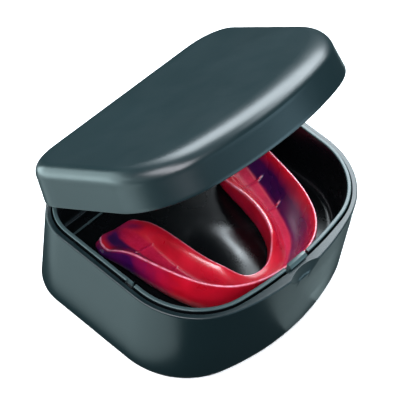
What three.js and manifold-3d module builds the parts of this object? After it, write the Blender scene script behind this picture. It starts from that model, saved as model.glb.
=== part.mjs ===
// Mouthguard with its snap-shut carry case. Millimetres, +Z up, case front towards -Y.
// Origin: centre of the flat resting face under the case base. The lid is drawn partly open.
import * as THREE from "three";
import { mergeVertices } from "three/addons/utils/BufferGeometryUtils.js";
import Module from "manifold-3d";

const kernel = await Module();
kernel.setup();

// ---- driving dimensions ----

// Plan of the case at the rim: straight back, round back corners, straight sides, wide front
// corners and a shallow bowed front.
const CASE_PLAN = {
  halfWidth: 42,
  back: 34.47,
  backRadius: 14,
  side: 28,
  frontRadius: 24,
  bowAngle: 18.5,
};
// Plan of the mouth of the base shell, where the ledge ends. Its front is flatter, so the
// ledge is widest at the front.
const MOUTH_PLAN = {
  halfWidth: 40.4,
  back: 32.87,
  backRadius: 12.4,
  side: 28,
  frontRadius: 22.4,
  bowAngle: 10,
};

const BASE_HEIGHT = 32;
const BASE_FOOT_RADIUS = 4;
const BASE_DRAFT = 0.5;
const BASE_FLOOR = 2;
const EDGE_BREAK = 0.3;
const SHOULDER_HEIGHT = 12.6;
const SHOULDER_WIDTH = 1.6;

const TRAY_GAP = 0.4;
const LIP_WIDTH = 1.2;
const LIP_TOP = 33;
const TRAY_UNDERSIDE = 12.9;
const TRAY_FLOOR = 14.5;
const TRAY_FILLET = 3;
// The tray's floor is softly crowned inside the guard's arch: an oval island in the guard's frame.
const ISLAND_U = -1.4;
const ISLAND_V = 21;
const ISLAND_HALF_WIDTH = 11;
const ISLAND_HALF_LENGTH = 14.5;
const ISLAND_RISE = 1.8;

const LID_PARTING = 32.3;
const LID_TOP = 44.3;
const LID_CROWN_HEIGHT = 4.5;
const LID_CROWN_SIDE_WIDTH = 4;
const LID_CROWN_FRONT_WIDTH = 8.4;
const LID_CROWN_POWER = 2.1;
const LID_DRAFT = 0.8;
const LID_SKIRT = 1.4;
const LID_ROOF = 1.8;
const LID_CEILING_RADIUS = 2.5;
const LID_OPEN_DEGREES = 38.5;

const HINGE_Y = CASE_PLAN.back + 2.4;
const HINGE_Z = 33.7;
const KNUCKLE_RADIUS = 2;
const KNUCKLE_LENGTH = 7.4;
const EAR_LENGTH = 2.6;
const EAR_GAP = 0.3;
const HINGE_STATION = 16;
const PIN_RADIUS = 0.9;
const BORE_RADIUS = 1.15;

const TONGUE_WIDTH = 7;
const TONGUE_THICKNESS = 1.2;
const TONGUE_ROOT = 26.5;
const TONGUE_TOP = 33.7;
const TONGUE_Y = -30.5;
const SLOT_GAP = 1.3;
const SCALLOP_RADIUS = 13.25;
const SCALLOP_DEPTH = 1.9;
const SCALLOP_HEIGHT = 3.2;
const NOTCH_Y = -5;
const NOTCH_DEPTH = 1.6;

// The guard lies a little turned in the tray. Its own frame has the front of the arch at
// (0, 0), u across the mouth and v towards the back teeth.
const GUARD_X = -2.5;
const GUARD_Y = -29.9;
const GUARD_TURN_DEGREES = -7.5;
const GUARD_UNDERSIDE = 14.9;
const GUARD_BITE_FLOOR = 17.3;
const GUARD_BULGE = 1.6;
// The bow of the arch, up to this v, takes this share of its stations. The arms take the rest.
const GUARD_BOW = 16;
const GUARD_BOW_SHARE = 0.4;
const GUARD_RIB_AT = [25.5, 36.1];
const GUARD_RIB_WIDTH = 0.5;
const GUARD_RIB_HEIGHT = 0.3;
// Right half of the cheek-side and tongue-side top edges, from the front to the arm end.
const CHEEK_EDGE = [
  [0, 1.3],
  [5.9, 1.6],
  [11, 2.8],
  [16.2, 5.4],
  [21.2, 10.5],
  [24.9, 18],
  [27.3, 26],
  [29, 34],
  [30.3, 41],
  [30.3, 44.4],
  [28.8, 46.9],
];
const TONGUE_EDGE = [
  [0, 9],
  [4.2, 9.9],
  [7.4, 12.6],
  [10.2, 16.6],
  [12.2, 23],
  [13.1, 30.3],
  [13.6, 38.3],
  [14.4, 43],
  [17.2, 46.6],
];

// ---- helpers ----

const radians = THREE.MathUtils.degToRad;

function colour(hex, roughness, opacity = 1) {
  return new THREE.MeshStandardMaterial({
    color: hex,
    roughness,
    opacity,
    transparent: opacity < 1,
    side: THREE.DoubleSide,
  });
}

function solidFrom(positions, triangles) {
  return new kernel.Manifold(
    new kernel.Mesh({
      numProp: 3,
      vertProperties: new Float32Array(positions.flat()),
      triVerts: new Uint32Array(triangles.flat()),
    }),
  );
}

function solidOf(geometry) {
  const bare = new THREE.BufferGeometry();
  bare.setAttribute("position", geometry.getAttribute("position"));
  if (geometry.index) bare.setIndex(geometry.index);
  const merged = mergeVertices(bare, 1e-4);
  return new kernel.Manifold(
    new kernel.Mesh({
      numProp: 3,
      vertProperties: new Float32Array(merged.attributes.position.array),
      triVerts: new Uint32Array(merged.index.array),
    }),
  );
}

function meshOf(name, solid, material) {
  const data = solid.getMesh();
  const geometry = new THREE.BufferGeometry();
  geometry.setAttribute("position", new THREE.BufferAttribute(data.vertProperties, 3));
  geometry.setIndex(new THREE.BufferAttribute(data.triVerts, 1));
  geometry.computeVertexNormals();
  const mesh = new THREE.Mesh(geometry, material);
  mesh.name = name;
  return mesh;
}

function box(x0, x1, y0, y1, z0, z1) {
  const geometry = new THREE.BoxGeometry(x1 - x0, y1 - y0, z1 - z0);
  return solidOf(geometry.translate((x0 + x1) / 2, (y0 + y1) / 2, (z0 + z1) / 2));
}

// A cylinder along X about the hinge line.
function hingeCylinder(radius, x0, x1, segments = 32) {
  const geometry = new THREE.CylinderGeometry(radius, radius, x1 - x0, segments);
  return solidOf(geometry.rotateZ(Math.PI / 2).translate((x0 + x1) / 2, HINGE_Y, HINGE_Z));
}

// A side profile drawn in (y, z), extruded along X from x0 to x1.
function sideExtrusion(shape, x0, x1) {
  const geometry = new THREE.ExtrudeGeometry(shape, {
    depth: x1 - x0,
    bevelEnabled: false,
    curveSegments: 16,
  });
  geometry.applyMatrix4(
    new THREE.Matrix4().set(0, 0, 1, x0, 1, 0, 0, 0, 0, 1, 0, 0, 0, 0, 0, 1),
  );
  return solidOf(geometry);
}

// Points of a case plan, each with its outward normal, anticlockwise from above.
function planPoints(plan) {
  const half = [{ x: 0, y: plan.back, nx: 0, ny: 1 }];
  const arc = (cx, cy, radius, from, to, steps, skipFirst) => {
    for (let i = skipFirst ? 1 : 0; i <= steps; i += 1) {
      const angle = radians(from + ((to - from) * i) / steps);
      const nx = Math.cos(angle);
      const ny = Math.sin(angle);
      half.push({ x: cx + radius * nx, y: cy + radius * ny, nx, ny });
    }
  };
  const backCentreY = plan.back - plan.backRadius;
  arc(plan.halfWidth - plan.backRadius, backCentreY, plan.backRadius, 90, 0, 8, false);
  const frontCentreX = plan.halfWidth - plan.frontRadius;
  const frontCentreY = backCentreY - plan.side;
  const cornerEnd = plan.bowAngle - 90;
  arc(frontCentreX, frontCentreY, plan.frontRadius, 0, cornerEnd, 8, false);
  const joint = half[half.length - 1];
  const bowRadius = joint.x / Math.sin(radians(plan.bowAngle));
  const bowCentreY = joint.y + bowRadius * Math.cos(radians(plan.bowAngle));
  arc(0, bowCentreY, bowRadius, cornerEnd, -90, 5, true);
  const front = half[half.length - 1];
  front.x = 0;
  const mirrored = half
    .slice(1, -1)
    .reverse()
    .map((p) => ({ x: -p.x, y: p.y, nx: -p.nx, ny: p.ny }));
  return [...half, ...mirrored].reverse();
}

const CASE_POINTS = planPoints(CASE_PLAN);
const MOUTH_POINTS = planPoints(MOUTH_PLAN);

function planRing(points, inset, z) {
  return points.map((p) => [p.x - inset * p.nx, p.y - inset * p.ny, z]);
}

// Closed solid through a run of rings. The first and last rings are closed flat.
function loft(rings) {
  const count = rings[0].length;
  const positions = rings.flat();
  const triangles = [];
  rings.slice(1).forEach((_, band) => {
    const low = band * count;
    const high = low + count;
    for (let i = 0; i < count; i += 1) {
      const next = (i + 1) % count;
      triangles.push([low + i, low + next, high + next]);
      triangles.push([low + i, high + next, high + i]);
    }
  });
  const firstCentre = positions.length;
  const lastCentre = firstCentre + 1;
  const lastStart = (rings.length - 1) * count;
  positions.push([0, 0, rings[0][0][2]], [0, 0, rings[rings.length - 1][0][2]]);
  for (let i = 0; i < count; i += 1) {
    const next = (i + 1) % count;
    triangles.push([firstCentre, next, i]);
    triangles.push([lastCentre, lastStart + i, lastStart + next]);
  }
  return solidFrom(positions, triangles);
}

// Rings of a quarter round on a plan, from (inset0, z0) to (inset1, z1). The curve leaves
// along z when alongFirst is "z", otherwise along the inset.
function quarterRound(points, inset0, z0, inset1, z1, alongFirst, steps) {
  return Array.from({ length: steps + 1 }, (_, i) => {
    const angle = (Math.PI / 2) * (i / steps);
    const early = 1 - Math.cos(angle);
    const late = Math.sin(angle);
    const insetShare = alongFirst === "z" ? early : late;
    const heightShare = alongFirst === "z" ? late : early;
    return planRing(
      points,
      inset0 + (inset1 - inset0) * insetShare,
      z0 + (z1 - z0) * heightShare,
    );
  });
}

// Rings of the lid's crown, a superellipse that melts into the flat top. It is wide along the
// front and back and tighter along the sides.
function crownRings(steps) {
  return Array.from({ length: steps + 1 }, (_, i) => {
    const angle = (Math.PI / 2) * (i / steps);
    const power = 2 / LID_CROWN_POWER;
    const reach = 1 - Math.cos(angle) ** power;
    const drop = LID_CROWN_HEIGHT * (1 - Math.sin(angle) ** power);
    return CASE_POINTS.map((p) => {
      const extra = (LID_CROWN_FRONT_WIDTH - LID_CROWN_SIDE_WIDTH) * p.ny * p.ny;
      const inset = LID_DRAFT + (LID_CROWN_SIDE_WIDTH + extra) * reach;
      return [p.x - inset * p.nx, p.y - inset * p.ny, LID_TOP - drop];
    });
  });
}

// ---- base shell ----

function earShape() {
  const shape = new THREE.Shape();
  const outer = HINGE_Y + KNUCKLE_RADIUS;
  shape.moveTo(CASE_PLAN.back - 0.6, BASE_HEIGHT - 6.5);
  shape.lineTo(outer, HINGE_Z - 2.4);
  shape.lineTo(outer, HINGE_Z);
  shape.absarc(HINGE_Y, HINGE_Z, KNUCKLE_RADIUS, 0, Math.PI, false);
  shape.lineTo(HINGE_Y - KNUCKLE_RADIUS, BASE_HEIGHT - 0.1);
  shape.lineTo(CASE_PLAN.back - 0.6, BASE_HEIGHT - 0.1);
  shape.closePath();
  return shape;
}

function makeBaseShell() {
  const footInset = BASE_DRAFT + BASE_FOOT_RADIUS;
  let shell = loft([
    ...quarterRound(CASE_POINTS, footInset, 0, BASE_DRAFT, BASE_FOOT_RADIUS, "inset", 5),
    planRing(CASE_POINTS, 0, BASE_HEIGHT - EDGE_BREAK),
    planRing(CASE_POINTS, EDGE_BREAK, BASE_HEIGHT),
    planRing(MOUTH_POINTS, 0, BASE_HEIGHT),
    planRing(MOUTH_POINTS, 0, SHOULDER_HEIGHT),
    planRing(MOUTH_POINTS, SHOULDER_WIDTH, SHOULDER_HEIGHT),
    planRing(MOUTH_POINTS, SHOULDER_WIDTH, BASE_FOOT_RADIUS),
    planRing(MOUTH_POINTS, SHOULDER_WIDTH + 2, BASE_FLOOR),
  ]);
  const scallopTop = BASE_HEIGHT + 1;
  const scallopFloor = BASE_HEIGHT - SCALLOP_HEIGHT;
  const scallop = new THREE.CylinderGeometry(
    SCALLOP_RADIUS + 0.4,
    SCALLOP_RADIUS - 1.4,
    scallopTop - scallopFloor,
    96,
  );
  scallop.rotateX(Math.PI / 2);
  const frontY = Math.min(...CASE_POINTS.map((p) => p.y));
  scallop.translate(0, frontY - SCALLOP_RADIUS + SCALLOP_DEPTH, (scallopTop + scallopFloor) / 2);
  shell = shell.subtract(solidOf(scallop));
  const earStart = KNUCKLE_LENGTH / 2 + EAR_GAP;
  for (const station of [-HINGE_STATION, HINGE_STATION]) {
    for (const side of [-1, 1]) {
      const near = station + side * earStart;
      const far = near + side * EAR_LENGTH;
      const ear = sideExtrusion(earShape(), Math.min(near, far), Math.max(near, far));
      shell = shell.add(ear);
    }
    const reach = earStart + EAR_LENGTH + 1;
    shell = shell.subtract(hingeCylinder(BORE_RADIUS, station - reach, station + reach));
  }
  return shell;
}

// ---- inner tray, with its raised lip ----

function makeIsland() {
  const steps = 8;
  const oval = (share, z) =>
    Array.from({ length: 48 }, (_, i) => {
      const angle = (2 * Math.PI * i) / 48;
      const u = ISLAND_HALF_WIDTH * share * Math.cos(angle);
      const v = ISLAND_HALF_LENGTH * share * Math.sin(angle);
      return [u, v, z];
    });
  const rings = [oval(1, -0.5)];
  for (let i = 0; i < steps; i += 1) {
    const share = 1 - i / steps;
    rings.push(oval(share, ISLAND_RISE * (1 - share * share) ** 2));
  }
  return loft(rings)
    .translate([ISLAND_U, ISLAND_V, 0])
    .rotate([0, 0, GUARD_TURN_DEGREES])
    .translate([GUARD_X, GUARD_Y, TRAY_FLOOR]);
}

function makeTray() {
  const outer = TRAY_GAP;
  const inner = TRAY_GAP + LIP_WIDTH;
  const footInner = inner + 0.3;
  let tray = loft([
    ...quarterRound(MOUTH_POINTS, outer + 1, TRAY_UNDERSIDE, outer, TRAY_UNDERSIDE + 1, "inset", 2),
    planRing(MOUTH_POINTS, outer, LIP_TOP - 0.25),
    planRing(MOUTH_POINTS, outer + 0.25, LIP_TOP),
    planRing(MOUTH_POINTS, inner - 0.25, LIP_TOP),
    planRing(MOUTH_POINTS, inner, LIP_TOP - 0.25),
    ...quarterRound(
      MOUTH_POINTS,
      footInner,
      TRAY_FLOOR + TRAY_FILLET,
      footInner + TRAY_FILLET,
      TRAY_FLOOR,
      "z",
      4,
    ),
  ]);
  const slotHalf = TONGUE_WIDTH / 2 + SLOT_GAP;
  const slot = box(-slotHalf, slotHalf, TONGUE_Y - 2, TONGUE_Y + 2, TONGUE_ROOT - 0.3, LIP_TOP + 1);
  tray = tray.subtract(slot);
  const lipOuter = TRAY_GAP - MOUTH_PLAN.halfWidth;
  const notchFloor = LIP_TOP - NOTCH_DEPTH;
  const slit = box(lipOuter - 1, lipOuter + 2, NOTCH_Y - 0.5, NOTCH_Y + 0.5, notchFloor, LIP_TOP + 1);
  const recess = box(lipOuter - 1, lipOuter + 0.6, NOTCH_Y, NOTCH_Y + 2.5, notchFloor, LIP_TOP + 1);
  return tray.subtract(slit).subtract(recess).add(makeIsland());
}

// ---- latch tongue ----

function makeTongue() {
  const front = TONGUE_Y - TONGUE_THICKNESS / 2;
  const back = TONGUE_Y + TONGUE_THICKNESS / 2;
  const shape = new THREE.Shape();
  shape.moveTo(front, TONGUE_ROOT);
  shape.lineTo(back, TONGUE_ROOT);
  shape.lineTo(back, TONGUE_TOP - 0.3);
  shape.lineTo(back - 0.3, TONGUE_TOP);
  shape.lineTo(front + 0.2, TONGUE_TOP);
  shape.lineTo(front - 0.7, TONGUE_TOP - 0.7);
  shape.lineTo(front - 0.7, TONGUE_TOP - 1.1);
  shape.lineTo(front, TONGUE_TOP - 1.6);
  shape.closePath();
  return sideExtrusion(shape, -TONGUE_WIDTH / 2, TONGUE_WIDTH / 2);
}

// ---- lid, drawn shut and then swung open about the hinge line ----

function knuckleShape() {
  const shape = new THREE.Shape();
  const root = CASE_PLAN.back - 0.9;
  shape.moveTo(root, LID_PARTING + 0.4);
  shape.lineTo(HINGE_Y, HINGE_Z - KNUCKLE_RADIUS);
  shape.absarc(HINGE_Y, HINGE_Z, KNUCKLE_RADIUS, -Math.PI / 2, Math.PI / 2, false);
  shape.lineTo(root, HINGE_Z + KNUCKLE_RADIUS + 0.8);
  shape.closePath();
  return shape;
}

function makeLid() {
  const ceiling = LID_TOP - LID_ROOF;
  const innerShoulder = LID_SKIRT + LID_DRAFT;
  let lid = loft([
    ...quarterRound(
      CASE_POINTS,
      innerShoulder + LID_CEILING_RADIUS,
      ceiling,
      innerShoulder,
      ceiling - LID_CEILING_RADIUS,
      "inset",
      4,
    ),
    planRing(CASE_POINTS, LID_SKIRT, LID_PARTING),
    planRing(CASE_POINTS, EDGE_BREAK, LID_PARTING),
    planRing(CASE_POINTS, 0, LID_PARTING + EDGE_BREAK),
    ...crownRings(10),
  ]);
  const frontY = Math.min(...CASE_POINTS.map((p) => p.y));
  const skirtY = frontY + LID_SKIRT;
  const bead = box(-3, 3, skirtY - 0.3, skirtY + 0.6, LID_PARTING + 0.9, LID_PARTING + 1.7);
  lid = lid.add(bead);
  for (const station of [-HINGE_STATION, HINGE_STATION]) {
    const from = station - KNUCKLE_LENGTH / 2;
    const to = station + KNUCKLE_LENGTH / 2;
    lid = lid.add(sideExtrusion(knuckleShape(), from, to));
    lid = lid.subtract(hingeCylinder(BORE_RADIUS, from - 1, to + 1));
  }
  return lid.translate([0, -HINGE_Y, -HINGE_Z]);
}

// ---- hinge pins ----

function makePin(station) {
  const reach = KNUCKLE_LENGTH / 2 + EAR_GAP + EAR_LENGTH - 0.1;
  return hingeCylinder(PIN_RADIUS, station - reach, station + reach);
}

// ---- mouthguard: a U-shaped channel that opens upwards ----

// One edge of the arch as a function of a parameter from -1, at the left arm end, to 1 at the
// right one: even steps of length round the bow, then even steps of v along each arm.
function archEdge(rightHalf) {
  const whole = [
    ...rightHalf.slice(1).reverse(),
    ...rightHalf.map(([u, v]) => [-u, v]),
  ].map(([u, v]) => new THREE.Vector3(u, v, 0));
  const curve = new THREE.CatmullRomCurve3(whole, false, "centripetal");
  const samples = 1000;
  const half = Array.from({ length: samples + 1 }, (_, i) => curve.getPoint(0.5 - i / (2 * samples)));
  const lengths = [0];
  for (let i = 1; i <= samples; i += 1) {
    lengths.push(lengths[i - 1] + half[i].distanceTo(half[i - 1]));
  }
  const bowEnd = lengths[half.findIndex((p) => p.y >= GUARD_BOW)];
  const armEnd = half[samples].y;
  return (t) => {
    const along = Math.abs(t) / GUARD_BOW_SHARE;
    const armShare = (Math.abs(t) - GUARD_BOW_SHARE) / (1 - GUARD_BOW_SHARE);
    const armV = GUARD_BOW + armShare * (armEnd - GUARD_BOW);
    const reached = (p, i) => (along <= 1 ? lengths[i] >= along * bowEnd : p.y >= armV - 1e-6);
    const index = half.findIndex(reached);
    const point = half[index < 0 ? samples : index];
    return new THREE.Vector3(t < 0 ? -point.x : point.x, point.y, 0);
  };
}

// Height of the cheek wall and of the tongue wall at a distance v from the front. The left
// arm's cheek wall is trimmed down towards its end, and the right arm's stays tall.
function cheekTop(v, isLeft) {
  const top = 29 - 0.02 * v - 0.0037 * v * v;
  if (isLeft) return top - 0.035 * Math.max(0, v - 31) ** 2;
  return top + 0.0037 * Math.max(0, v - 27) ** 2 - 0.13 * Math.max(0, v - 43) ** 2;
}

function tongueTop(v) {
  return 22.9 - 0.01 * (v - 22) ** 2;
}

// Closed section at one station: across from the tongue side (0) to the cheek side (width).
function guardSection(width, v, bulge, isLeft) {
  const low = GUARD_UNDERSIDE;
  const floor = GUARD_BITE_FLOOR;
  const scale = Math.min(1, width / 12.5);
  const inner = Math.max(tongueTop(v), floor + 0.6);
  const outer = Math.max(cheekTop(v, isLeft), floor + 0.8);
  const rise = inner - floor;
  const tall = outer - floor;
  return [
    [0.5, low + 0.6],
    [1.2, low],
    [width - 1.6, low],
    [width - 0.5 + bulge * 0.4, low + 1],
    [width + bulge, low + (outer - low) * 0.35],
    [width + bulge * 0.8, low + (outer - low) * 0.65],
    [width, outer - 0.3],
    [width - 0.3, outer],
    [width - 0.9, outer],
    [width - 2.1 * scale, outer - tall * 0.3],
    [width - 3.3 * scale, floor + tall * 0.45],
    [width - 4.7 * scale, floor + tall * 0.23],
    [width - 5.7 * scale, floor + tall * 0.09],
    [width - 6.8 * scale, floor],
    [4.7 * scale, floor],
    [3.4 * scale, floor + rise * 0.16],
    [2.8 * scale, floor + rise * 0.42],
    [2.3 * scale, floor + rise * 0.68],
    [1.6 * scale, inner - rise * 0.1],
    [0.9 * scale, inner],
    [0.2, inner],
    [0, inner - 0.3],
  ];
}

function makeGuard() {
  const steps = 48;
  const cheekAt = archEdge(CHEEK_EDGE);
  const tongueAt = archEdge(TONGUE_EDGE);
  const rings = Array.from({ length: steps + 1 }, (_, i) => {
    const t = 1 - (2 * i) / steps;
    const innerPoint = tongueAt(t);
    const across = cheekAt(t).sub(innerPoint);
    const width = across.length();
    across.normalize();
    const bulge = GUARD_BULGE * THREE.MathUtils.smoothstep(Math.abs(t), 0.1, 0.4);
    return guardSection(width, cheekAt(t).y, bulge, t < 0).map(([s, z]) => [
      innerPoint.x + across.x * s,
      innerPoint.y + across.y * s,
      z,
    ]);
  });
  const count = rings[0].length;
  const positions = rings.flat();
  const triangles = [];
  for (let ring = 0; ring < rings.length - 1; ring += 1) {
    for (let i = 0; i < count; i += 1) {
      const a = ring * count + i;
      const b = ring * count + ((i + 1) % count);
      triangles.push([a, b + count, b], [a, a + count, b + count]);
    }
  }
  const endWidth = cheekAt(1).distanceTo(tongueAt(1));
  const last = (rings.length - 1) * count;
  const endCap = (isLeft) => {
    const section = guardSection(endWidth, cheekAt(1).y, GUARD_BULGE, isLeft);
    return THREE.ShapeUtils.triangulateShape(section.map(([s, z]) => new THREE.Vector2(s, z)), []);
  };
  for (const [a, b, c] of endCap(false)) triangles.push([a, b, c]);
  for (const [a, b, c] of endCap(true)) triangles.push([last + a, last + c, last + b]);
  let guard = solidFrom(positions, triangles);
  if (guard.volume() < 0) {
    const flipped = triangles.map(([a, b, c]) => [a, c, b]);
    guard = solidFrom(positions, flipped);
  }
  for (const ribV of GUARD_RIB_AT) {
    for (const side of [-1, 1]) {
      guard = guard.add(makeRib(cheekAt, tongueAt, ribV, side));
    }
  }
  return guard;
}

// One bite rib, laid across the floor of the channel between the two walls.
function makeRib(cheekAt, tongueAt, ribV, side) {
  const armEnd = cheekAt(1).y;
  const armShare = (ribV - GUARD_BOW) / (armEnd - GUARD_BOW);
  const t = side * (GUARD_BOW_SHARE + (1 - GUARD_BOW_SHARE) * armShare);
  const from = tongueAt(t);
  const across = cheekAt(t).sub(from);
  const width = across.length();
  across.normalize();
  const start = 3.2;
  const end = width - 4.9;
  const middle = from.clone().addScaledVector(across, (start + end) / 2);
  const geometry = new THREE.BoxGeometry(end - start, GUARD_RIB_WIDTH, GUARD_RIB_HEIGHT + 0.6);
  geometry.rotateZ(Math.atan2(across.y, across.x));
  const centreZ = GUARD_BITE_FLOOR + (GUARD_RIB_HEIGHT - 0.6) / 2;
  geometry.translate(middle.x, middle.y, centreZ);
  return solidOf(geometry);
}

// ---- assembly ----

const group = new THREE.Group();
const shellPlastic = 0x47585c;
group.add(meshOf("base_shell", makeBaseShell(), colour(shellPlastic, 0.45)));
group.add(meshOf("inner_tray", makeTray(), colour(0x1c2224, 0.25)));
group.add(meshOf("latch_tongue", makeTongue(), colour(0x5a6a6e, 0.4)));
group.add(meshOf("hinge_pin_left", makePin(-HINGE_STATION), colour(0xb8bcc0, 0.3)));
group.add(meshOf("hinge_pin_right", makePin(HINGE_STATION), colour(0xb8bcc0, 0.3)));

const lid = meshOf("lid_shell", makeLid(), colour(shellPlastic, 0.45));
lid.position.set(0, HINGE_Y, HINGE_Z);
lid.rotation.x = -radians(LID_OPEN_DEGREES);
group.add(lid);

const guard = meshOf("mouthguard", makeGuard(), colour(0xc01830, 0.35));
guard.position.set(GUARD_X, GUARD_Y, 0);
guard.rotation.z = radians(GUARD_TURN_DEGREES);
group.add(guard);

export default group;
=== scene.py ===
import math

import bmesh
import bpy
import numpy as np
from mathutils import Matrix, Vector


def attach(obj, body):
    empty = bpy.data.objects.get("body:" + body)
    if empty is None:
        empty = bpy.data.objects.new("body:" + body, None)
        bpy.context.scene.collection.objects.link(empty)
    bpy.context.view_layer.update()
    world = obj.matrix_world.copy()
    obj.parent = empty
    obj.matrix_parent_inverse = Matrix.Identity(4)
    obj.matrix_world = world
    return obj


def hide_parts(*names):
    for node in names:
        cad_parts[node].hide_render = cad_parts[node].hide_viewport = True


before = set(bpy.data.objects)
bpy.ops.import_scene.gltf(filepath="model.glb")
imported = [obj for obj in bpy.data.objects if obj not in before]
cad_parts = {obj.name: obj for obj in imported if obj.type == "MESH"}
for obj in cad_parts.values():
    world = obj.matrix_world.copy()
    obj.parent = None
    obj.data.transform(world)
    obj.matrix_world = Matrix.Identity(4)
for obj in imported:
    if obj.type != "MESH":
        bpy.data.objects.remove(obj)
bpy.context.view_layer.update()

MM = 0.001

# ------------------------------------------------------------------ dimensions, in millimetres
# These repeat the frame's own dimensions, so that each detailed piece fills its CAD solid.

CASE_PLAN = dict(half=42.0, back=34.47, r_back=14.0, side=28.0, r_front=24.0, bow=18.5)
MOUTH_PLAN = dict(half=40.4, back=32.87, r_back=12.4, side=28.0, r_front=22.4, bow=10.0)

BASE_HEIGHT = 32.0
BASE_DRAFT = 0.5
FOOT_RADIUS = 4.0
BASE_FLOOR = 2.0
SHOULDER_Z = 12.6
SHOULDER_WIDTH = 1.6
UPPER_WALL_Z = 28.6
UPPER_WALL_TOP = 31.3
UPPER_WALL_INSET = 0.06
UPRIGHT_Z = 31.65
RIM_ROUND = 0.45
LEDGE_ROUND = 0.12

TRAY_GAP = 0.4
LIP_WIDTH = 1.2
LIP_TOP = 33.0
TRAY_UNDER = 12.9
TRAY_FLOOR = 14.5
TRAY_FILLET = 3.0
ISLAND_U = -1.4
ISLAND_V = 21.0
ISLAND_HALF_WIDTH = 11.0
ISLAND_HALF_LENGTH = 14.5
ISLAND_RISE = 1.8
STEP_Y = 26.8
STEP_RISE = 1.2
STEP_CHAMFER = (0.50, 0.42)
OVERLAP = 0.5  # how far the crown and the step reach into the floor they are joined to

LID_PARTING = 32.3
LID_TOP = 44.3
LID_CROWN_Z = 39.8
LID_CROWN_SIDE = 4.0
LID_CROWN_FRONT = 8.4
LID_CROWN_POWER = 2.1
LID_DRAFT = 0.8
LID_SKIRT = 1.4
LID_ROOF = 1.8
LID_INNER_RADIUS = 2.6
BEAD_HALF = 3.0
BEAD_Z = (0.9, 1.7)

HINGE_Y = 36.87
HINGE_Z = 33.7
LID_OPEN = math.radians(38.5)
KNUCKLE_R = 2.0
KNUCKLE_HALF = 3.7
EAR_START = 4.0
EAR_END = 6.6
STATIONS = (-16.0, 16.0)
PIN_R = 0.9
PIN_HALF = 6.5
BORE_R = 1.1
LUG_ROUND = 0.18

TONGUE_HALF = 3.5
TONGUE_Y = -30.5
TONGUE_THICK = 1.2
TONGUE_ROOT = 26.5
TONGUE_TOP = 33.7
SLOT_GAP = 1.3
SCALLOP_R = 13.25
SCALLOP_DEPTH = 1.9
SCALLOP_HEIGHT = 3.2
SCALLOP_FLARE = 1.4
SCALLOP_LIMIT_Y = -25.0
NOTCH_Y = -5.0
NOTCH_DEPTH = 1.6

GUARD_X = -2.5
GUARD_Y = -29.9
GUARD_TURN = math.radians(-7.5)
GUARD_UNDER = 14.9
GUARD_FLOOR = 17.3
GUARD_BULGE = 1.5
GUARD_BOW = 16.0
GUARD_BOW_SHARE = 0.4
RIB_AT = (25.5, 36.1)
RIB_LIFT = 0.25
RIB_FIN = 0.75
# The guard's two edges, right half, as (u, v): u across the arch and v back from the bow.
CHEEK_EDGE = (
    (0, 1.3), (5.9, 1.6), (11, 2.8), (16.2, 5.4), (21.2, 10.5), (24.9, 18),
    (27.3, 26), (29, 34), (30.3, 41), (30.3, 44.4), (28.8, 46.9),
)
TONGUE_EDGE = (
    (0, 10), (4.1, 10.8), (7.2, 13.2), (10, 17), (12.1, 23), (13.1, 30.3),
    (13.6, 38.3), (14.4, 43), (17.2, 46.6),
)


# ------------------------------------------------------------------ mesh helpers

def new_object(name, verts_mm, faces, smooth=True):
    mesh = bpy.data.meshes.new(name)
    mesh.from_pydata([tuple(c * MM for c in v) for v in verts_mm], [], faces)
    mesh.validate()
    mesh.update()
    if smooth:
        mesh.shade_smooth()
    obj = bpy.data.objects.new(name, mesh)
    bpy.context.scene.collection.objects.link(obj)
    return obj


def bake_modifiers(obj):
    """Replaces the object's mesh with its evaluated one and drops the modifiers."""
    graph = bpy.context.evaluated_depsgraph_get()
    graph.update()
    baked = bpy.data.meshes.new_from_object(obj.evaluated_get(graph), depsgraph=graph)
    obj.modifiers.clear()
    obj.data = baked


def combine(obj, cutter, operation):
    """One exact boolean between obj and cutter. The cutter is removed."""
    modifier = obj.modifiers.new("combine", "BOOLEAN")
    modifier.operation = operation
    modifier.solver = "EXACT"
    modifier.object = cutter
    bake_modifiers(obj)
    bpy.data.objects.remove(cutter)


def soften(obj, width_mm, segments=3, angle=35):
    """Rounds the sharp edges of a small hard piece."""
    bevel = obj.modifiers.new("soften", "BEVEL")
    bevel.width = width_mm * MM
    bevel.segments = segments
    bevel.limit_method = "ANGLE"
    bevel.angle_limit = math.radians(angle)
    bevel.harden_normals = False
    bake_modifiers(obj)


def shade(obj, angle):
    """Smooth shading, except across edges sharper than the angle in degrees."""
    obj.data.shade_smooth()
    obj.data.set_sharp_from_angle(angle=math.radians(angle))
    return obj


def box(name, x0, x1, y0, y1, z0, z1):
    verts = [(x, y, z) for x in (x0, x1) for y in (y0, y1) for z in (z0, z1)]
    faces = [(0, 1, 3, 2), (4, 6, 7, 5), (0, 4, 5, 1), (2, 3, 7, 6), (0, 2, 6, 4), (1, 5, 7, 3)]
    return new_object(name, verts, faces, smooth=False)


def extrude_side(name, profile, x0, x1):
    """A closed (y, z) outline extruded along X."""
    n = len(profile)
    verts = [(x0, y, z) for y, z in profile] + [(x1, y, z) for y, z in profile]
    faces = [tuple(range(n))[::-1], tuple(range(n, 2 * n))]
    faces += [(i, (i + 1) % n, n + (i + 1) % n, n + i) for i in range(n)]
    obj = new_object(name, verts, faces, smooth=False)
    fix_normals(obj)
    return obj


def fix_normals(obj):
    """Turns every face of a closed mesh outwards."""
    bm = bmesh.new()
    bm.from_mesh(obj.data)
    bmesh.ops.recalc_face_normals(bm, faces=bm.faces)
    bm.to_mesh(obj.data)
    bm.free()


def cylinder_x(name, radius, x0, x1, segments=64):
    """A cylinder along X about the hinge line."""
    outline = [
        (HINGE_Y + radius * math.cos(2 * math.pi * i / segments),
         HINGE_Z + radius * math.sin(2 * math.pi * i / segments))
        for i in range(segments)
    ]
    return extrude_side(name, outline, x0, x1)


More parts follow.
